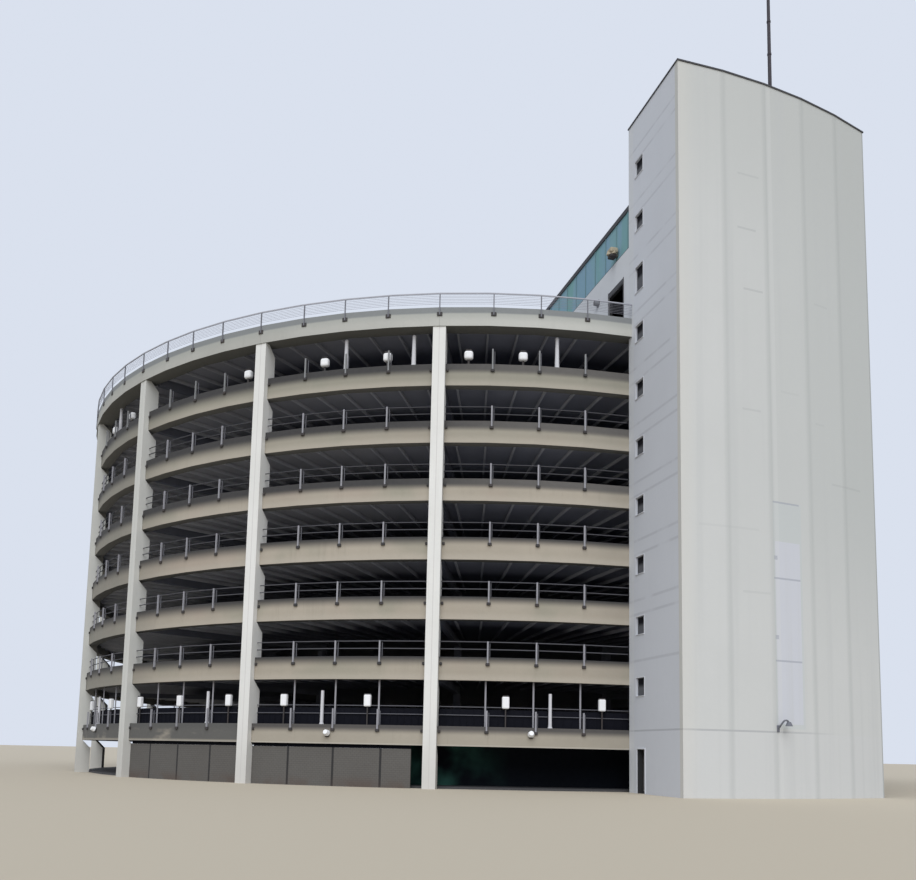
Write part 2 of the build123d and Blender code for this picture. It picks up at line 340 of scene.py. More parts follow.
joist_material = weathered("joist concrete", (0.60, 0.61, 0.65), (0.32, 0.32, 0.34), 0.5, 0.2, 0.2)
tree, at = located(joist_material)
tint(joist_material, (0.06, 0.065, 0.10), deep_inside(tree, at), 0.85)
tint(joist_material, (0.30, 0.31, 0.35), ramp(tree, at["Height"], 2000, 2240), 0.5)
work = bmesh.new()
for deck in ["deck_" + str(storey) for storey in range(2, 8)] + ["roof_deck"]:
    joist_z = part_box(deck)[0].z - joist_size[2] / 2
    for joist in range(bay_count * joists_per_bay):
        turn = (joist + 0.5) * bay_turn / joists_per_bay
        bar(work, joist_size, on_ring(turn, joist_middle_r, joist_z), 0.002)
finished("deck_joists", work, joist_material)

# Edge bands, beige concrete lengths from fin to fin, palest at the foot and fading into
# a near black kerb strip above. The strip is told apart by its height within a storey: it
# starts higher to the right, and both its edges lie lower in the upper storeys
second_band_foot = round(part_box("fascia_2")[0].z * 1000, 1)
storey_pitch = round(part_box("fascia_3")[0].z * 1000 - second_band_foot, 1)


def within(tree, value, low, high):
    """One where a value lies between two others, and nought elsewhere."""
    return number(tree, "COMPARE", value, (low + high) / 2, (high - low) / 2)


band_material = weathered("band concrete", (0.395, 0.352, 0.292), (0.27, 0.246, 0.20), 0.45, 0.6, 0.4)
tree, at = located(band_material)
height, side = at["Height"], at["Side"]
tint(band_material, (0.25, 0.255, 0.20), patches(tree, 3.1, 0.5, 0.68), 0.45)
tint(band_material, (0.40, 0.32, 0.27), patches(tree, 2.3, 0.52, 0.70), 0.40)
tint(band_material, (0.245, 0.243, 0.20), ramp(tree, height, 1300, 2000), 0.7)
tint(band_material, (0.30, 0.27, 0.22), ramp(tree, height, 900, 600, 0.0, 0.28))
rise = number(tree, "SUBTRACT", height, second_band_foot)
rise = number(tree, "FLOORED_MODULO", rise, storey_pitch)
tint(band_material, (0.45, 0.41, 0.35), ramp(tree, rise, 42, 6, 0.0, 0.5))
# Painted shade: the bands darker towards the shaded left side of the ring
tint(band_material, (0.20, 0.195, 0.17), ramp(tree, side, -30, -46), 0.75)
upper = ramp(tree, height, 1150, 1450)
strip_foot = number(tree, "ADD", ramp(tree, side, -22, -18, 39, 55), ramp(tree, side, -2, 2, 0, 11))
strip_foot = number(tree, "MULTIPLY_ADD", upper, -11, strip_foot)
strip_head = number(tree, "MULTIPLY_ADD", upper, -22, 108)
strip_rise = number(tree, "SUBTRACT", rise, strip_foot)
strip_height = number(tree, "SUBTRACT", strip_head, strip_foot)
strip = ramp(tree, number(tree, "DIVIDE", strip_rise, strip_height), 0, 1)
tint(band_material, (0.038, 0.037, 0.038), strip)
tint(band_material, (0.17, 0.16, 0.15), strip, upper, ramp(tree, side, -6, 12), 0.52)
# Painted shade: the undersides dark, less so on the upper storeys
tint(band_material, (0.07, 0.07, 0.066), at["Underside"])
tint(band_material, (0.15, 0.148, 0.138), at["Underside"], ramp(tree, height, 900, 1600))
dress(["fascia_" + str(storey) for storey in range(2, 8)], band_material)
first_band_material = weathered(
    "first band concrete", (0.37, 0.335, 0.28), (0.25, 0.23, 0.19), 0.45, 0.6, 0.4
)
tree, at = located(first_band_material)
tint(first_band_material, (0.075, 0.070, 0.068), ramp(tree, at["Height"], 244, 278))
tint(first_band_material, (0.42, 0.39, 0.34), within(tree, at["Height"], 197, 203))
grime = product(
    tree,
    ramp(tree, at["Side"], -19.4, -20.6),
    patches(tree, 6.0, 0.22, 0.46, (1, 1, 2)),
    ramp(tree, at["Height"], 203, 212, 0.35, 0.95),
)
tint(first_band_material, (0.092, 0.092, 0.090), grime)
# Painted shade: the underside dark
tint(first_band_material, (0.05, 0.05, 0.048), at["Underside"])
dress(["fascia_1"], first_band_material)

# Roof ring, a greyer concrete band over the heads of the fins, with a cooler kerb
# above a thin dark line
ring_material = weathered("ring concrete", (0.43, 0.43, 0.405), (0.30, 0.30, 0.275), 0.4, 0.6, 0.4)
tree, at = located(ring_material)
# Painted light: the ring paler towards the right
tint(ring_material, (0.56, 0.565, 0.535), ramp(tree, at["Side"], -18, 12), 0.55)
tint(ring_material, (0.34, 0.355, 0.335), ramp(tree, at["Height"], 2228, 2272, 0.0, 0.6))
tint(ring_material, (0.215, 0.228, 0.235), ramp(tree, at["Height"], 2268, 2278))
# Painted shade: the underside dark
tint(ring_material, (0.12, 0.121, 0.113), at["Underside"])
dress(["roof_ring"], ring_material)

# Fins and their webs, white paint on concrete, with a fine groove down the middle
# of each fin, greyer towards the left side of the ring
fin_material = weathered("fin paint", (0.75, 0.75, 0.735), (0.57, 0.57, 0.55), 0.35, 0.5, 0.3)
tree, at = located(fin_material)
swing = number(tree, "FLOORED_MODULO", number(tree, "ADD", at["Angle"], bay_turn / 2), bay_turn)
tint(fin_material, (0.50, 0.48, 0.48), within(tree, swing, 9.96, 10.04), 0.5)
tint(fin_material, (0.42, 0.43, 0.40), ramp(tree, at["Side"], -28, -44), 0.55)
tint(fin_material, (0.50, 0.487, 0.465), ramp(tree, at["Height"], 420, 0), 0.6)
dress(["fins", "fin_webs"], fin_material)

# Guard rails of the storeys, galvanised steel posts bolted to the bands, each on a dark
# bracket and with a slim dark bar beside it that is the post's painted shadow. Smaller
# brackets stand beside the fins
tower_bay = 1
posts_of_bay = {0: (5.495, 10.33, 15.165), 2: (5.36, 10.02, 14.68)}
posts_elsewhere = (5.33, 10, 14.67)
facet_turn = 5
post_bracket_size = (0.019, 0.009, 0.014)
post_shadow_size = (0.004, 0.005, 0.066)
fin_bracket_size = (0.012, 0.008, 0.014)
fin_bracket_swing = 0.86


def on_facet(angle, radius, height, out=0.0, aside=0.0):
    """The place on a ring of flat facets, square to its facet, a little out or aside."""
    middle = facet_turn * floor(angle / facet_turn) + facet_turn / 2
    reach = radius * cos(radians(facet_turn / 2))
    slide = reach * tan(radians(angle - middle))
    return on_ring(middle, reach + out, height) @ Matrix.Translation((slide + aside, 0, 0))


rail_material = weathered("rail metal", (0.31, 0.31, 0.345), (0.20, 0.20, 0.22), 0.4, 0.4, 0.1)
tree, at = located(rail_material)
tint(rail_material, (0.17, 0.18, 0.175), ramp(tree, at["Height"], 1850, 2060), 0.6)
dress(["railing_" + str(storey) for storey in range(1, 8)], rail_material)
bracket_material = weathered("bracket metal", (0.035, 0.034, 0.036), (0.07, 0.05, 0.045), 0.5, 0.3, 0.1)
fence_rail_and_shadow_material = weathered("fence rail and post shadow metal", (0.105, 0.107, 0.125), (0.07, 0.07, 0.08), 0.4, 0.4, 0.1)
post_places = []
for bay in range(bay_count):
    if bay != tower_bay:
        post_places += [bay * bay_turn + turn for turn in posts_of_bay.get(bay, posts_elsewhere)]
fin_places = [line * bay_turn for line in range(bay_count) if line not in (tower_bay, tower_bay + 1)]
band_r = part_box("fascia_2")[1].x
band_tops = [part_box("fascia_" + str(storey))[1].z for storey in range(1, 8)]
kerb_feet = [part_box("deck_" + str(storey))[1].z for storey in range(1, 8)]
work = bmesh.new()
post_shadows = bmesh.new()
for band_top, kerb_foot in zip(band_tops, kerb_feet):
    for angle in post_places:
        bracket_place = on_facet(angle, band_r, kerb_foot, out=post_bracket_size[1] / 2)
        bar(work, post_bracket_size, bracket_place, 0.002)
        # A slim dark bar beside each post, its painted shadow
        post_shadow_place = on_facet(angle, band_r - 0.006, band_top + post_shadow_size[2] / 2, aside=0.010)
        bar(post_shadows, post_shadow_size, post_shadow_place, 0.001)
    for angle in fin_places:
        for swing in (-fin_bracket_swing, fin_bracket_swing):
            bracket_place = on_facet(angle + swing, band_r, kerb_foot, out=fin_bracket_size[1] / 2)
            bar(work, fin_bracket_size, bracket_place, 0.002)
finished("storey_brackets", work, bracket_material)
finished("storey_post_shadows", post_shadows, fence_rail_and_shadow_material)

# Two slim dark steel rails behind the posts, in straight lengths that are broken at the
# fins. The first storey has a fence of its own instead, and the top storey has none
storey_rail_r = 2.678
storey_rail_w = 0.0045
storey_rail_rises = (0.038, 0.073)
rail_end = 19.97
clear_of_fin = 0.69
just_short = 0.001


def rail_spans(last_turn):
    """Where each straight length starts and ends, in degrees, in all bays but the tower's.
    The last one of the bay beside the tower ends at a turn of its own."""
    spans = []
    for bay in range(bay_count):
        if bay == tower_bay:
            continue
        close = last_turn if bay == 0 else bay_turn - clear_of_fin
        turns = [clear_of_fin, *range(facet_turn, bay_turn, facet_turn), close]
        ends = [bay * bay_turn + turn for turn in turns]
        spans += zip(ends, ends[1:])
    return spans


def strut(work, start, end, width, bevel=0.0):
    """Add a square bar from one point to another."""
    along = end - start
    place = Matrix.Translation((start + end) / 2) @ along.to_track_quat("Z", "Y").to_matrix().to_4x4()
    bar(work, (width, width, along.length), place, bevel)


def rail(work, first, second, radius, height, width, bevel=0.0):
    """Add a straight length of rail between two turns of the ring."""
    start = on_facet(first, radius, height).translation
    end = on_facet(second - just_short, radius, height).translation
    strut(work, start, end, width, bevel)


slim_rail_material = weathered("slim rail metal", (0.075, 0.077, 0.090), (0.05, 0.05, 0.06), 0.4, 0.4, 0.1)
tree, at = located(slim_rail_material)
tint(slim_rail_material, (0.040, 0.041, 0.048), ramp(tree, at["Height"], 950, 1500, 0.0, 0.75))
work = bmesh.new()
for first, second in rail_spans(rail_end):
    for band_top in band_tops[1:6]:
        for rise in storey_rail_rises:
            rail(work, first, second, storey_rail_r, band_top + rise, storey_rail_w, 0.001)
finished("storey_rails", work, slim_rail_material)

# Roof guard rail, steel that stands grey against the sky with a paler top rail, on dark
# brackets, with seven fine wires strained below it from one side of the tower to the other
roof_bracket_size = (0.026, 0.005, 0.020)
roof_bracket_z = 2.268
wire_count = 7
wire_w = 0.001
wire_r = 2.7275
lowest_wire_z = 2.318
wire_gap = 0.008
roof_rail_material = weathered("roof rail metal", (0.175, 0.18, 0.21), (0.115, 0.115, 0.13), 0.4, 0.4, 0.1)
tree, at = located(roof_rail_material)
tint(roof_rail_material, (0.44, 0.45, 0.51), within(tree, at["Height"], 2369, 2376), 0.85)
dress(["roof_railing"], roof_rail_material)
roof_ring_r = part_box("roof_ring")[1].x
work = bmesh.new()
for angle in post_places + fin_places:
    bracket_place = on_facet(angle, roof_ring_r - 0.0005, roof_bracket_z, out=0.0022)
    bar(work, roof_bracket_size, bracket_place, 0.0015)
finished("roof_brackets", work, bracket_material)
wire_material = weathered("wire metal", (0.24, 0.245, 0.29), (0.18, 0.18, 0.21), 0.4, 0.4, 0.1)
work = bmesh.new()
corners_before = [*range(0, bay_turn + 1, facet_turn)]
corners_beyond = [2 * bay_turn + 0.71, *range(45, 361, facet_turn)]
for wire in range(wire_count):
    for corners in (corners_before, corners_beyond):
        for first, second in zip(corners, corners[1:]):
            rail(work, first, second, wire_r, lowest_wire_z + wire_gap * wire, wire_w)
finished("roof_wires", work, wire_material)

# First storey fence behind the posts, slim steel poles up to the next band and two
# rails, in straight lengths like those of the rails above
fence_r = 2.656
pole_size = (0.008, 0.005, 0.213)
pole_swing = 0.12
pole_z = 0.3945
fence_rail_w = 0.004
fence_rail_heights = (0.379, 0.341)
fence_end = 20.5
work = bmesh.new()
for angle in post_places:
    bar(work, pole_size, on_facet(angle - pole_swing, fence_r, pole_z), 0.001)
finished("first_storey_poles", work, rail_material)
work = bmesh.new()
for first, second in rail_spans(fence_end):
    for rail_height in fence_rail_heights:
        rail(work, first, second, fence_r, rail_height, fence_rail_w, 0.001)
finished("first_storey_fence", work, fence_rail_and_shadow_material)

# Black panels of that fence, thin metal sheets hung behind its rails in each straight
# length, with five upright ribs on the face of each
panel_r = 2.652
panel_z = 0.3290
panel_t = 0.002
panel_height = 0.080
rib_size = (0.005, 0.003, 0.078)
rib_gaps = 6


def dulled(material, specular):
    """Take most of the shine off a material."""
    material.node_tree.nodes["Principled BSDF"].inputs["Specular IOR Level"].default_value = specular


def span_length(first, second, radius):
    """The length in metres between two turns of one facet."""
    ends = [on_facet(turn, radius, 0).translation for turn in (first, second - just_short)]
    return (ends[1] - ends[0]).length


panel_material = weathered("fence panel", (0.0045, 0.005, 0.009), (0.007, 0.0075, 0.012), 0.5, 0.4, 0.2)
dulled(panel_material, 0.1)
work = bmesh.new()
for first, second in rail_spans(fence_end):
    panel_size = (span_length(first, second, panel_r), panel_t, panel_height)
    bar(work, panel_size, on_facet((first + second) / 2, panel_r - panel_t, panel_z), 0.0005)
    for rib in range(1, rib_gaps):
        rib_turn = first + (second - first) * rib / rib_gaps
        bar(work, rib_size, on_facet(rib_turn, panel_r - 0.0005, panel_z), 0.001)
finished("first_storey_panels", work, panel_material)

# Lanterns on short stems on the kerbs of the first and the top storey, with white
# bodies, dark metal caps and dark feet. Those in the street's bays stand unevenly, and
# each of the other bays repeats one pair
kerb_line_r = 2.662
other_bays = range(2, 16)
tall_body_size = (0.034, 0.022, 0.057)
tall_cap_size = (0.030, 0.020, 0.005)
tall_stem_size = (0.006, 0.006, 0.092)
square_body_size = (0.044, 0.032, 0.044)
square_cap_size = (0.032, 0.026, 0.008)
square_stem_size = (0.010, 0.010, 0.032)
square_foot_size = (0.026, 0.022, 0.008)
lantern_material = weathered("lantern white", (0.86, 0.87, 0.90), (0.70, 0.71, 0.74), 0.3, 0.2, 0.0)
first_places = [-38.3, -30.5, -23.0, -15.9, -6.6, 7.4, 17.3]
first_places += [bay * bay_turn + turn for bay in other_bays for turn in (3.8, 13.5)]
top_places = [-22.5, -12.7, -5.6, 3.0, 8.7]
top_places += [bay * bay_turn + turn for bay in other_bays for turn in (7.3, 14.4)]
bodies = bmesh.new()
caps = bmesh.new()
for angle in first_places:
    bar(bodies, tall_body_size, on_ring(angle, kerb_line_r, 0.402), 0.006, 3)
    bar(caps, tall_cap_size, on_ring(angle, kerb_line_r, 0.4325), 0.0015)
    bar(caps, tall_stem_size, on_ring(angle, kerb_line_r, 0.334), 0.001)
for angle in top_places:
    bar(bodies, square_body_size, on_ring(angle, kerb_line_r, 2.084), 0.012, 3)
    bar(caps, square_cap_size, on_ring(angle, kerb_line_r, 2.109), 0.003)
    bar(caps, square_stem_size, on_ring(angle, kerb_line_r, 2.047), 0.001)
    bar(caps, square_foot_size, on_ring(angle, kerb_line_r, 2.0355), 0.002)
finished("lantern_bodies", bodies, lantern_material)
finished("lantern_caps", caps, bracket_material)

# Pale painted round pillars on the kerbs, tall ones with a foot and a head on the top
# storey and slim ones with a foot on the first


def cone(work, low_r, high_r, depth, place, sides=16):
    """Add a tapered round body whose axis is the place's own Z."""
    bmesh.ops.create_cone(
        work, cap_ends=True, segments=sides, radius1=low_r, radius2=high_r, depth=depth, matrix=place
    )


pillar_material = weathered("pillar paint", (0.62, 0.62, 0.66), (0.45, 0.45, 0.48), 0.4, 0.3, 0.1)
tall_places = [-10.25, -2.8, 12.3] + [bay * bay_turn + 9.8 for bay in other_bays]
slim_places = [-26.0, -11.5, 11.9] + [bay * bay_turn + 8.6 for bay in other_bays]
work = bmesh.new()
for angle in tall_places:
    cone(work, 0.0115, 0.0085, 0.152, on_ring(angle, kerb_line_r, 2.1075))
    cone(work, 0.0145, 0.0125, 0.010, on_ring(angle, kerb_line_r, 2.0365))
    cone(work, 0.0105, 0.0065, 0.008, on_ring(angle, kerb_line_r, 2.1875))
for angle in slim_places:
    cone(work, 0.0085, 0.0075, 0.160, on_ring(angle, kerb_line_r, 0.368))
    cone(work, 0.0115, 0.0095, 0.008, on_ring(angle, kerb_line_r, 0.292))
finished("kerb_pillars", work, pillar_material)

# Floodlights on the face of the first band, pale round heads that tip down on dark
# steel arms. The left one hangs a little lower
head_r = 0.016
head_face_r = 0.011
head_depth = 0.020
arm_size = (0.014, 0.016, 0.010)
plate_size = (0.020, 0.004, 0.026)
tipped = Matrix.Rotation(radians(70), 4, "X")
heads = bmesh.new()
arms = bmesh.new()
for angle in [-10.55, 9.88] + [bay * bay_turn + 10 for bay in other_bays]:
    level = 0.254 if angle > 0 else 0.243
    head_place = on_facet(angle, band_r, level + 0.006, out=0.017) @ tipped
    cone(heads, head_r, head_face_r, head_depth, head_place)
    bar(arms, arm_size, on_facet(angle, band_r, level - 0.008, out=arm_size[1] / 2), 0.002)
    bar(arms, plate_size, on_facet(angle, band_r, level - 0.002, out=plate_size[1] / 2), 0.0015)
finished("floodlight_heads", heads, lantern_material)
finished("floodlight_arms", arms, bracket_material)

# Block screen of the ground storey, coursed grey blocks with open joints between the
# panels, rust coloured stains at its foot and a black head strip along its top
screen_head_r = 2.668
screen_head_z = 0.1884
screen_ends = ((-39.31, -35, -30, -25, -20.69), (-19.31, -15, -10, -5, -2.0))
screen_material = weathered("screen block", (0.107, 0.102, 0.096), (0.080, 0.072, 0.066), 0.5, 0.4, 0.5)
tree, at = located(screen_material)
flat = tree.nodes.new("ShaderNodeCombineXYZ")
tree.links.new(number(tree, "MULTIPLY", at["Angle"], 46.7), flat.inputs["X"])
tree.links.new(at["Height"], flat.inputs["Y"])
courses = tree.nodes.new("ShaderNodeTexBrick")
courses.inputs["Scale"].default_value = 1.0
courses.inputs["Brick Width"].default_value = 20
courses.inputs["Row Height"].default_value = 10
courses.inputs["Mortar Size"].default_value = 0.9
courses.inputs["Mortar Smooth"].default_value = 0.4
tree.links.new(flat.outputs["Vector"], courses.inputs["Vector"])
tint(screen_material, (0.055, 0.052, 0.050), courses.outputs["Fac"], 0.55)
beside = number(tree, "FLOORED_MODULO", number(tree, "ADD", at["Angle"], 0.5), facet_turn)
tint(screen_material, (0.022, 0.021, 0.022), within(tree, beside, 0.38, 0.62))
stains = patches(tree, 7.0, 0.42, 0.62)
tint(screen_material, (0.085, 0.055, 0.042), ramp(tree, at["Height"], 60, 4), stains, 0.5)
dress(["ground_screen_wall"], screen_material)
work = bmesh.new()
for ends in screen_ends:
    for first, second in zip(ends, ends[1:]):
        strip_size = (span_length(first, second, screen_head_r), 0.004, 0.0166)
        bar(work, strip_size, on_facet((first + second) / 2, screen_head_r, screen_head_z), 0.0008)
finished("screen_heads", work, panel_material)

# Inner wall of the ground storey, masonry that stands well back from the street, painted
# near black with the shade it stands in, with plain cloudy green paint at its left end
inner_wall_material = weathered("inner wall", (0.004, 0.006, 0.010), (0.002, 0.003, 0.005), 0.7, 0.3, 0.3)
dulled(inner_wall_material, 0.1)
tree, at = located(inner_wall_material)
left_end = ramp(tree, at["Angle"], 9, 1.5)
tint(inner_wall_material, (0.045, 0.14, 0.115), left_end, patches(tree, 4.0, 0.36, 0.60), 0.85)
dress(["ground_inner_wall"], inner_wall_material)

# Front of the stair tower, five upright painted panels, each a step darker to the right
# with painted shade, with joints between them, a few short marks at the floors, a
# repainted patch and a base course. Its faces to the rooms inside are painted near black
# with the shade of the unlit rooms
panel_turn = 4.14
base_course_top = 280
wall_top = 3253
front_material = weathered("tower front paint", (0.590, 0.602, 0.602), (0.535, 0.548, 0.545), 0.35, 0.35, 0.2)
tree, at = located(front_material)
angle, height = at["Angle"], at["Height"]
panel = number(tree, "DIVIDE", number(tree, "SUBTRACT", angle, bay_turn), panel_turn)
panel = number(tree, "FLOOR", panel)
# Painted shade: each panel a step darker to the right, less so low down
tint(front_material, (0.515, 0.535, 0.532), panel, 0.25, ramp(tree, height, 450, 1500))
tint(front_material, (0.49, 0.505, 0.495), ramp(tree, height, 2300, 3300), 0.55)
patch = within(tree, angle, 28.36, 31.3)
tint(front_material, (0.515, 0.56, 0.575), patch, within(tree, height, 300, 1312), 0.5)
patch = within(tree, angle, 28.5, 31.1)
tint(front_material, (0.595, 0.61, 0.69), patch, within(tree, height, 320, 1130), 0.7)
tint(front_material, (0.60, 0.61, 0.625), number(tree, "LESS_THAN", height, base_course_top), 0.35)
course_line = within(tree, height, base_course_top + 1, base_course_top + 9)
tint(front_material, (0.33, 0.34, 0.37), course_line, ramp(tree, angle, 36, 28), 0.55)
tint(front_material, (0.51, 0.525, 0.53), patches(tree, 22.0, 0.50, 0.72, (1, 1, 0.02)), 0.35)
tint(front_material, (0.64, 0.625, 0.58), ramp(tree, angle, 21.8, 20.0), 0.35)
tint(front_material, (0.66, 0.67, 0.67), within(tree, angle, 28.45, 28.95), 0.25)
floor_marks = (
    (25.5, 27.6, 2841, 0.18),
    (25.4, 27.2, 2575, 0.26),
    (25.9, 27.8, 2284, 0.26),
    (25.6, 27.4, 1716, 0.18),
    (21.5, 27.0, 1170, 0.10),
    (25.4, 28.0, 890, 0.14),
    (33.4, 35.0, 2300, 0.12),
    (33.2, 34.2, 1713, 0.12),
    (35.0, 38.7, 1440, 0.18),
    (29.5, 31.4, 1830, 0.10),
)
for low, high, level, strength in floor_marks:
    mark = within(tree, height, level - 5, level + 5)
    tint(front_material, (0.28, 0.30, 0.31), mark, within(tree, angle, low, high), strength)
for level in (596, 963, 1308):
    patch_line = within(tree, height, level - 4, level + 4)
    tint(front_material, (0.34, 0.36, 0.42), patch_line, within(tree, angle, 28.36, 31.1), 0.65)
for level in (700, 1055):
    patch_line = within(tree, height, level - 9, level + 9)
    tint(front_material, (0.34, 0.36, 0.42), patch_line, within(tree, angle, 28.4, 28.75), 0.6)
for joint in range(1, 5):
    beside = number(tree, "SUBTRACT", angle, bay_turn + panel_turn * joint)
    beside = number(tree, "ABSOLUTE", beside)
    tint(front_material, (0.36, 0.38, 0.38), ramp(tree, beside, 0.42, 0.05, 0.0, 0.26))
tint(front_material, (0.30, 0.32, 0.32), within(tree, angle, 40.55, 41), 0.6)
# Painted shade: the faces to the unlit rooms inside near black
unlit_room_shade = product(
    tree,
    number(tree, "LESS_THAN", at["Radius"], 3200),
    number(tree, "LESS_THAN", height, wall_top),
    within(tree, angle, 20.4, 40.3),
)
tint(front_material, (0.035, 0.035, 0.038), unlit_room_shade)
dress(["tower_front_wall"], front_material)

# Side walls of the tower, painted concrete with the front's white paint made a cooler
# blue, a painted tint of sky light, with a pair of faint joints at each floor and a line
# over the base course. The plain back, the roof and the floors inside go with them
first_joint_foot = 516
side_material = weathered("tower side paint", (0.635, 0.663, 0.725), (0.555, 0.58, 0.635), 0.4, 0.4, 0.2)
tree, at = located(side_material)
height = at["Height"]
floor_rise = number(tree, "SUBTRACT", height, first_joint_foot)
floor_rise = number(tree, "FLOORED_MODULO", floor_rise, storey_pitch)
faint = number(tree, "GREATER_THAN", height, 560)
faint = number(tree, "MULTIPLY", faint, patches(tree, 7.0, 0.30, 0.55, (1, 1, 0.7)))
for joint in (26, 92):
    beside = number(tree, "ABSOLUTE", number(tree, "SUBTRACT", floor_rise, joint))
    tint(side_material, (0.36, 0.37, 0.42), ramp(tree, beside, 10, 2), faint, 0.34)
tint(side_material, (0.28, 0.29, 0.33), within(tree, height, base_course_top + 1, base_course_top + 9), 0.45)
tint(side_material, (0.66, 0.68, 0.70), within(tree, at["Radius"], 2690, 2745), 0.5)
dress(["tower_right_wall"], side_material)
left_material = side_material.copy()
left_material.name = "tower left paint"
tree, at = located(left_material)
# Painted shade: the faces to the unlit rooms inside near black
unlit_room_shade = number(tree, "GREATER_THAN", at["Inset"], 16)
tint(left_material, (0.035, 0.035, 0.038), unlit_room_shade, number(tree, "LESS_THAN", at["Height"], wall_top))
# Painted shade: the doorway's reveal near black
painted_reveal_shade = product(
    tree,
    within(tree, at["Radius"], 2770, 2860),
    number(tree, "LESS_THAN", at["Height"], 204),
    number(tree, "GREATER_THAN", at["Inset"], 1.5),
)
tint(left_material, (0.03, 0.03, 0.033), painted_reveal_shade)
dress(["tower_left_wall", "tower_door_wall"], left_material)
plain_material = weathered("tower plain paint", (0.56, 0.57, 0.58), (0.46, 0.47, 0.48), 0.4, 0.4, 0.2)
dress(["tower_back_wall", "tower_roof"], plain_material)
# Floors inside painted near black with the shade of the unlit rooms
stair_material = weathered("tower floor concrete in painted shade", (0.04, 0.04, 0.044), (0.025, 0.025, 0.028), 0.5, 0.3, 0.2)
dress(["tower_floors"], stair_material)

# Windows of the tower, dark panes set back in the wall, each with a thin raised paint
# line round its opening, a sill and a dark frame. The eighth is taller. The doorway at
# the foot has plain jambs and a lintel
window_near = 2.765
window_far = 2.850
window_middle = (window_near + window_far) / 2
window_width = window_far - window_near
first_window_z = 0.485
window_pitch = 0.2855
half_window = 0.0425
tall_window = 7
tall_window_drop = 0.034
tall_window_rise = 0.015
line_w = 0.004
line_t = 0.0018
frame_w = 0.004
frame_t = 0.008


def on_side(behind, radius, height):
    """The place on the plane that the left sides of tower and hall share, or behind it."""
    return on_ring(bay_turn, radius, height) @ Matrix.Translation((behind, 0, 0))


# The surrounds share the side walls' cooler blue, the same painted sky light
surround_material = weathered("surround paint", (0.64, 0.66, 0.71), (0.54, 0.565, 0.615), 0.3, 0.3, 0.1)
pane_material = weathered("window pane", (0.004, 0.004, 0.007), (0.012, 0.012, 0.016), 0.4, 0.2, 0.0)
dulled(pane_material, 0.15)
tree, at = located(pane_material)
# Painted shade: the panes darkest at the top, in the painted shadow of the reveal's head, and paler low down
pane_rise = number(tree, "SUBTRACT", at["Height"], (first_window_z - window_pitch / 2) * 1000)
pane_rise = number(tree, "FLOORED_MODULO", pane_rise, window_pitch * 1000)
tint(pane_material, (0.13, 0.135, 0.15), ramp(tree, pane_rise, 160, 136, 0.0, 0.9))
dress(["tower_windows"], pane_material)
trim_material = weathered("dark trim", (0.045, 0.046, 0.055), (0.09, 0.09, 0.095), 0.4, 0.4, 0.1)
jamb_size = (0.004, 0.006, 0.206)
lintel_size = (0.004, 0.080, 0.006)
surrounds = bmesh.new()
frames = bmesh.new()
for window in range(10):
    middle = first_window_z + window_pitch * window
    low = middle - half_window
    high = middle + half_window
    if window == tall_window:
        low -= tall_window_drop
        high += tall_window_rise
    centre = (low + high) / 2
    for radius in (window_near - line_w / 2, window_far + line_w / 2):
        upright_size = (line_t, line_w, high - low + 2 * line_w)
        bar(surrounds, upright_size, on_side(-0.0006, radius, centre), 0.0005)
    for level in (low - line_w / 2, high + line_w / 2):
        bar(surrounds, (line_t, window_width, line_w), on_side(-0.0006, window_middle, level), 0.0005)
    sill_size = (0.014, window_width + 0.004, 0.003)
    bar(surrounds, sill_size, on_side(0.003, window_middle, low + 0.0005), 0.0008)
    for radius in (window_near + frame_w / 2, window_far - frame_w / 2):
        bar(frames, (frame_t, frame_w, high - low), on_side(0.0135, radius, centre), 0.0008)
    for level in (low + 0.003, high - frame_w / 2):
        bar(frames, (frame_t, window_width, frame_w), on_side(0.0135, window_middle, level), 0.0008)
for radius in (2.7725, 2.8575):
    bar(surrounds, jamb_size, on_side(-0.0012, radius, jamb_size[2] / 2), 0.001)
bar(surrounds, lintel_size, on_side(-0.0012, 2.815, 0.203), 0.001)
finished("opening_surrounds", surrounds, surround_material)
finished("window_frames", frames, trim_material)

# Cap and mast of the tower, dark metal, the mast in a sheath of three lengths, each
# slimmer than the one below and closed by a collar
mast_angle = 29.2
mast_line_r = 3.201
mast_sides = 12
sheath_lengths = ((0.012, 0.180, 0.0088), (0.180, 0.350, 0.0083), (0.350, 0.5195, 0.0078))
dress(["tower_cap", "tower_mast"], trim_material)
mast_material = weathered("mast metal", (0.035, 0.030, 0.040), (0.05, 0.045, 0.055), 0.4, 0.3, 0.1)
mast_foot_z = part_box("tower_mast")[0].z
work = bmesh.new()
cone(work, 0.012, 0.008, 0.012, on_ring(mast_angle, mast_line_r, mast_foot_z + 0.006), mast_sides)
for low, high, width in sheath_lengths:
    sheath_place = on_ring(mast_angle, mast_line_r, mast_foot_z + (low + high) / 2)
    cone(work, width, width - 0.0003, high - low, sheath_place, mast_sides)
    collar_place = on_ring(mast_angle, mast_line_r, mast_foot_z + high - 0.004)
    cone(work, width + 0.0016, width + 0.0012, 0.008, collar_place, mast_sides)
finished("mast_sheath", work, mast_material)

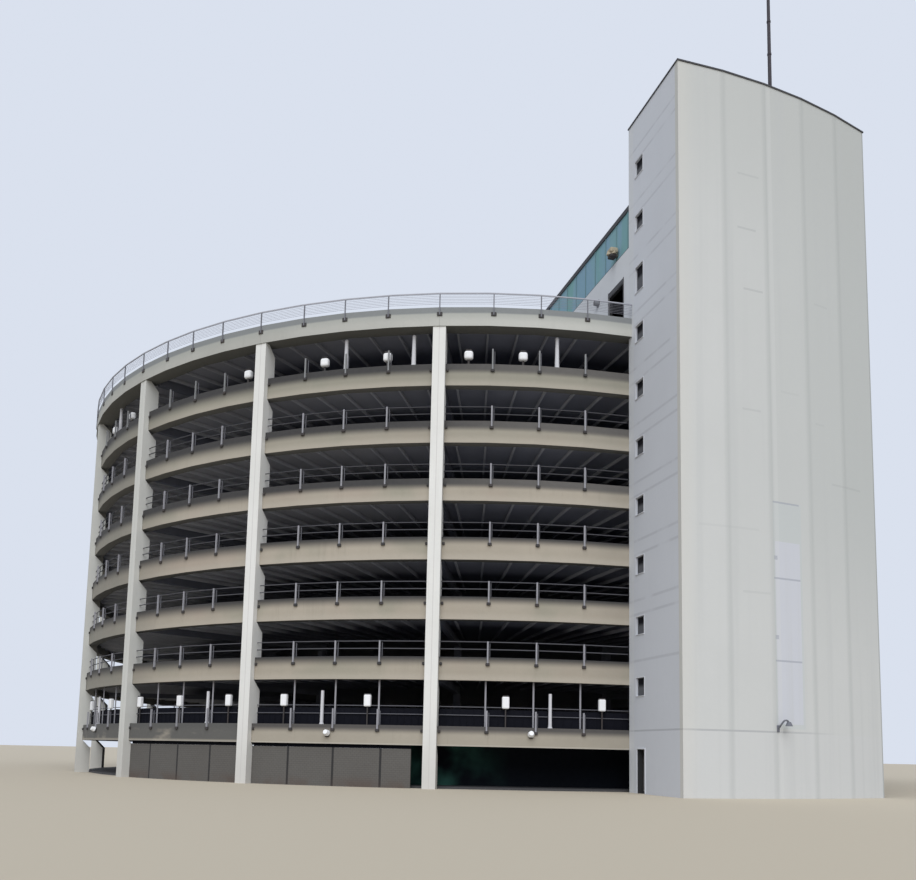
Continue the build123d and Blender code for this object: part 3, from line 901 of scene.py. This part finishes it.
# Wall lamp on the tower's front, dark metal: a back plate fixed to the wall, a bent arm
# and a small shade that widens downwards
lamp_place = on_ring(30.35, 3.2129, 0.300) @ Matrix.Translation((-0.107, 0, 0))
arm_points = [
    Vector((0, -0.003, 0)),
    Vector((0.001, -0.018, 0.016)),
    Vector((0.008, -0.030, 0.034)),
    Vector((0.020, -0.034, 0.036)),
    Vector((0.030, -0.034, 0.028)),
]
wall_lamp_material = weathered("wall lamp metal", (0.16, 0.17, 0.20), (0.10, 0.10, 0.12), 0.4, 0.3, 0.1)
work = bmesh.new()
bar(work, (0.014, 0.005, 0.030), lamp_place @ Matrix.Translation((0, -0.002, 0)), 0.0015)
for first, second in zip(arm_points, arm_points[1:]):
    strut(work, lamp_place @ first, lamp_place @ second, 0.007, 0.0015)
cone(work, 0.016, 0.008, 0.018, lamp_place @ Matrix.Translation((0.031, -0.034, 0.020)))
finished("wall_lamp", work, wall_lamp_material)

# Hall on the roof, pale painted walls under a band of teal glass that shifts to blue
# and green, with slim mullions, a dark line under the glass, a round vent in the wall
# and a dark frame round the doorway
mullion_count = 10
first_mullion_r = 1.42
mullion_gap = 0.139
door_near = 2.4425
door_far = 2.6285
door_middle = (door_near + door_far) / 2
hall_material = weathered("hall paint", (0.68, 0.705, 0.745), (0.52, 0.535, 0.565), 0.4, 0.4, 0.2)
tree, at = located(hall_material)
# Painted shade: the doorway's reveal near black
painted_reveal_shade = product(
    tree,
    within(tree, at["Radius"], 2440, 2632),
    number(tree, "LESS_THAN", at["Height"], 2540),
    within(tree, at["Inset"], 1.5, 60),
)
tint(hall_material, (0.02, 0.02, 0.022), painted_reveal_shade)
dress(["roof_hall_walls"], hall_material)
dress(["roof_hall_roof"], trim_material)
glass_material = weathered("teal glass", (0.20, 0.385, 0.43), (0.26, 0.44, 0.47), 0.5, 0.2, 0.0)
tree = glass_material.node_tree
tint(glass_material, (0.22, 0.35, 0.52), patches(tree, 5.0, 0.44, 0.60, (1, 1, 0.25)), 0.55)
tint(glass_material, (0.15, 0.36, 0.33), patches(tree, 8.0, 0.52, 0.64, (1, 1, 0.2)), 0.45)
dress(["roof_hall_glass"], glass_material)
mullion_material = weathered("mullion metal", (0.14, 0.25, 0.28), (0.10, 0.16, 0.18), 0.4, 0.3, 0.1)
vent_material = weathered("vent paint", (0.20, 0.21, 0.235), (0.13, 0.135, 0.15), 0.4, 0.3, 0.1)
work = bmesh.new()
for mullion in range(mullion_count):
    bar(work, (0.005, 0.004, 0.204), on_side(0.004, first_mullion_r + mullion_gap * mullion, 2.793), 0.001)
finished("hall_mullions", work, mullion_material)
vent_place = on_side(0, 2.307, 2.572) @ Matrix.Rotation(radians(-90), 4, "Y")
work = bmesh.new()
cone(work, 0.021, 0.021, 0.004, vent_place @ Matrix.Translation((0, 0, 0.001)), 20)
cone(work, 0.017, 0.013, 0.022, vent_place @ Matrix.Translation((0, 0, 0.013)), 20)
for slat in (-0.008, 0, 0.008):
    bar(work, (0.003, 0.020, 0.003), vent_place @ Matrix.Translation((slat, 0, 0.0245)), 0.0008)
finished("hall_vent", work, vent_material)
work = bmesh.new()
bar(work, (0.005, 1.30, 0.006), on_side(0.0035, 2.04, 2.694), 0.0015)
for radius in (door_near, door_far):
    bar(work, (0.004, 0.005, 0.262), on_side(-0.001, radius, 2.434), 0.001)
bar(work, (0.003, 0.184, 0.026), on_side(-0.001, door_middle, 2.549), 0.001)
finished("hall_trim", work, trim_material)

# Tan floodlight on the glass band, a metal housing that flares down to a dark lens and
# is held off the band by a short arm
lamp_material = weathered("lamp tan", (0.40, 0.35, 0.26), (0.26, 0.22, 0.16), 0.4, 0.3, 0.1)
housing_place = on_side(-0.022, 2.540, 2.743)
flared = Matrix.Rotation(radians(180), 4, "X")
work = bmesh.new()
bar(work, (0.044, 0.056, 0.028), housing_place, 0.008, 2)
cone(work, 0.027, 0.035, 0.018, housing_place @ Matrix.Translation((0, 0, -0.012)) @ flared, 4)
housing = finished("lamp_housing", work, lamp_material)
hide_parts("roof_hall_lamp")
work = bmesh.new()
bar(work, (0.036, 0.046, 0.016), housing_place @ Matrix.Translation((0, 0, -0.026)), 0.003)
bar(work, (0.026, 0.012, 0.010), housing_place @ Matrix.Translation((0.014, 0, 0.004)), 0.002)
finished("lamp_lens", work, bracket_material)
